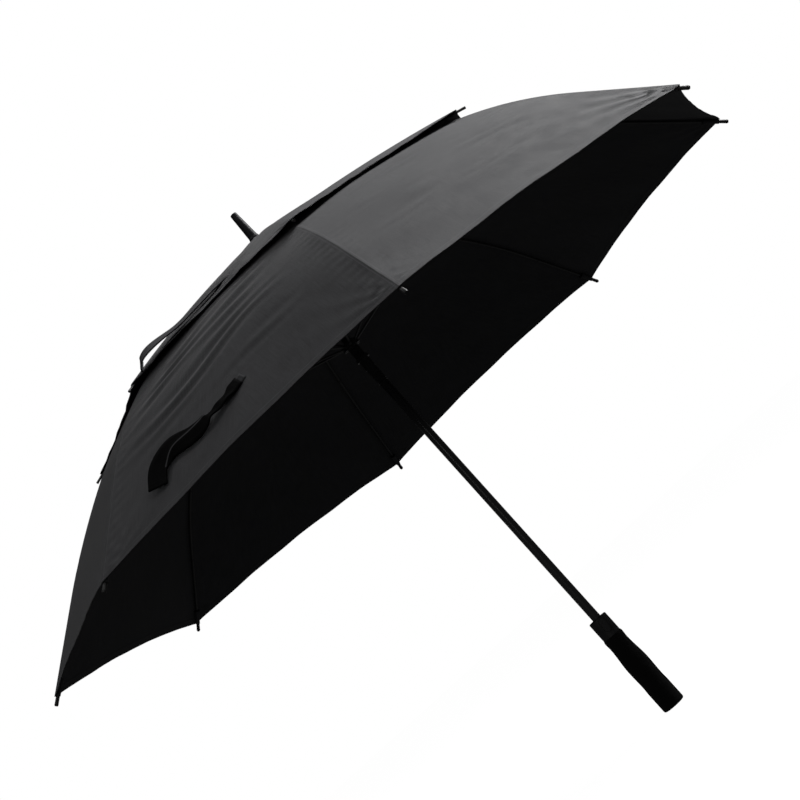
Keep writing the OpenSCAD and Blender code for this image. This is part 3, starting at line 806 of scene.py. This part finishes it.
def tube_loops(name, loops, wire, body):
    """Closed loops of thread, each an array of points in millimetres."""
    pts, faces, sides = [], [], 5
    for loop in loops:
        n, start = len(loop), len(pts)
        ahead = unit(np.roll(loop, -1, 0) - np.roll(loop, 1, 0))
        out = loop - loop.mean(0)
        out = unit(out - (out * ahead).sum(1, keepdims=True) * ahead)
        other = np.cross(ahead, out)
        for k in range(n):
            for j in range(sides):
                b = 2 * math.pi * j / sides
                pts.append(loop[k] + wire * (math.cos(b) * out[k] + math.sin(b) * other[k]))
        faces += [(start + k * sides + j, start + ((k + 1) % n) * sides + j,
                   start + ((k + 1) % n) * sides + (j + 1) % sides, start + k * sides + (j + 1) % sides)
                  for k in range(n) for j in range(sides)]
    ob = mesh_object(name, pts, faces, THREAD)
    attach(ob, body)


def tie(line, slope, azimuth, s, rod_r, cloth_h):
    """Three turns of thread round a rod and up to the seam at cloth_h over it."""
    turns = []
    for shift in (-0.55, 0.0, 0.55):
        a = np.radians(np.arange(0, 360, 22.5))
        r = rod_r + 0.28
        up = np.where(np.cos(a) > 0, np.cos(a) * (cloth_h - r), 0) + r * np.cos(a)
        at, tilt = line(np.array(float(s + shift))), float(slope(np.array(float(s))))
        flat = np.array([cosd(azimuth), sind(azimuth)])
        rz = at[None] + up[:, None] * above(tilt)[None]
        side = np.array([-flat[1], flat[0]])
        turns.append(np.stack([rz[:, 0] * flat[0] + r * np.sin(a) * side[0],
                               rz[:, 0] * flat[1] + r * np.sin(a) * side[1], rz[:, 1]], -1))
    return turns


def pocket(rib):
    """A small pocket of cloth sewn under the corner of the lower canopy, round the rib's tip."""
    rows, cols, middle_r, reach = 8, 15, 3.6, 128
    s = np.linspace(RIB_LENGTH - 40, RIB_LENGTH - 14.5, rows)
    a = np.radians(np.linspace(-reach, reach, cols))
    t = np.linspace(0, 1, rows)
    az = rib_azimuth(rib)
    flat, side = np.array([cosd(az), sind(az)]), np.array([-sind(az), cosd(az)])
    layers = []
    for extra in (0.4, 0.0):
        r = 3.25 + extra + 1.1 * (1 - t) ** 2
        low = -np.cos(a)[None] * r[:, None]
        wide = np.sin(a)[None] * r[:, None]
        rz = rib_at(s)[:, None] + low[..., None] * above(OUTER_A1)
        layers.append(np.concatenate([rz[..., :1] * flat + wide[..., None] * side, rz[..., 1:]], -1))
    round_rib = a[None] * middle_r
    ob = mesh_object(f"tip_pocket_{rib}", stacked(*layers), shell_faces(rows, cols), CANOPY, None,
                     twice({"cloth": (round_rib, s[:, None]),
                            "edge": (np.abs(round_rib), (s[-1] - s)[:, None] + 6.5)}))
    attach(ob, f"rib_end_{rib}")


def rib_ties(rib, places):
    return [loop for s in places for loop in tie(rib_at, rib_slope, rib_azimuth(rib), s, RIB_R, 3.6)]


def vent_ties(rib, places):
    return [loop for s in places for loop in tie(vent_at, vent_slope, rib_azimuth(rib), s, VENT_ROD_R, 2.5)]


for rib in RIBS:
    tube_loops(f"ties_inner_{rib}", rib_ties(rib, [262]), 0.25, f"rib_{rib}")
    tube_loops(f"ties_outer_{rib}", rib_ties(rib, [470, 600]), 0.25, f"rib_end_{rib}")
    tube_loops(f"ties_vent_{rib}", vent_ties(rib, [130, 270]), 0.22, f"vent_rib_{rib}")
    pocket(rib)


# ---------------------------------------------------------------- springs


def coil(name, coil_r, wire_r, length, turns, lie, closed_turns):
    """A round wire helix with closed end turns, along +Z of lie, in millimetres."""
    per_turn, sides = 20, 8
    n = int(turns * per_turn)
    t = np.linspace(0, 1, n + 1)
    share = closed_turns / turns
    closed = closed_turns * wire_r * 2.05
    low, high = wire_r, length - wire_r
    climb = np.interp(t, [0, share, 1 - share, 1], [low, low + closed, high - closed, high])[:, None]
    a = (2 * math.pi * turns * t)[:, None]
    b = np.linspace(0, 2 * math.pi, sides, endpoint=False)[None]
    r = coil_r + wire_r * np.cos(b)
    pts = np.stack([r * np.cos(a), r * np.sin(a), climb + wire_r * np.sin(b)], -1).reshape(-1, 3)
    faces = grid_faces(n + 1, sides, wrap=True)
    faces += [tuple(range(sides)), tuple(range((n + 1) * sides - 1, n * sides - 1, -1))]
    ob = mesh_object(name, [lie @ Vector(p) for p in pts], faces, STEEL)
    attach(ob, "frame")
    return ob


low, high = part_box("opening_spring")
spring_length = (high[2] - low[2]) / MM
spring = coil("opening_spring_wire", 4.3, 0.6, spring_length, 78,
              Matrix.Translation((0, 0, low[2] / MM)), closed_turns=1.5)
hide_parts("opening_spring")
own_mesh(spring)

low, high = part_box("button_spring")
middle_x, middle_z = ((low[k] + high[k]) / 2 / MM for k in (0, 2))
lie = Matrix.Translation((middle_x, high[1] / MM, middle_z)) @ Matrix.Rotation(math.radians(90), 4, "X")
button_spring = coil("button_spring_wire", 1.9, 0.3, (high[1] - low[1]) / MM, 5, lie, closed_turns=0.8)
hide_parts("button_spring")
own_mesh(button_spring)

# ---------------------------------------------------------------- camera, stage and light
scene = bpy.context.scene
camera = bpy.data.objects.new("camera", bpy.data.cameras.new("camera"))
scene.collection.objects.link(camera)
scene.camera = camera
VIEW_RIGHT = Vector((0.74865, -0.00288, -0.66296)).normalized()
VIEW_DIR = Vector((0.12454, 0.98280, 0.13637)).normalized()
VIEW_UP = VIEW_RIGHT.cross(VIEW_DIR).normalized()
camera.matrix_world = Matrix.Translation((-0.3027, -2.3885, 0.25835)) @ Matrix(
    (VIEW_RIGHT, VIEW_UP, -VIEW_DIR)).transposed().to_4x4()
camera.data.sensor_width = 36
camera.data.lens = 74.26485
camera.data.clip_end = 100
scene.view_settings.view_transform = "Standard"

world = bpy.data.worlds.new("world")
scene.world = world
world.use_nodes = True
tree = world.node_tree
background = tree.nodes["Background"]
path = tree.nodes.new("ShaderNodeLightPath")
strength = tree.nodes.new("ShaderNodeMapRange")
strength.inputs["To Min"].default_value = 0.07
strength.inputs["To Max"].default_value = 1.0
tree.links.new(path.outputs["Is Camera Ray"], strength.inputs["Value"])
tree.links.new(strength.outputs[0], background.inputs["Strength"])
background.inputs["Color"].default_value = (1, 1, 1, 1)

floor_mat = Nodes("floor", (0.95, 0.95, 0.95))
floor_mat.finish(Base_Color=(0.12, 0.12, 0.12), Roughness=1.0, Specular_IOR_Level=0.0,
                 Emission_Color=(1, 1, 1), Emission_Strength=0.985)
floor = mesh_object("floor", [(-2e4, -2e4, -0.5), (2e4, -2e4, -0.5), (2e4, 2e4, -0.5), (-2e4, 2e4, -0.5)],
                    [(0, 1, 2, 3)], floor_mat.mat)
floor.visible_diffuse = False
floor.visible_glossy = False


def area_light(name, direction, distance, size, power):
    """A round lamp that looks at the middle of the shaft's upper half."""
    light = bpy.data.lights.new(name, "AREA")
    light.shape = "DISK"
    light.size = size
    light.energy = power
    ob = bpy.data.objects.new(name, light)
    scene.collection.objects.link(ob)
    d = Vector(direction).normalized()
    ob.location = Vector((0, 0, 0.7)) + d * distance
    ob.rotation_mode = "QUATERNION"
    ob.rotation_quaternion = d.to_track_quat("Z", "Y")


area_light("key", (0.832, 0.036, 0.554), 1.81, 0.9, 60)
area_light("overhead", (0.50, -0.25, 0.80), 3.0, 2.6, 34)
area_light("left", (-0.45, -0.1, 0.85), 3.0, 1.6, 15)
area_light("front", (-0.35, -1.0, 0.35), 3.4, 2.0, 12)
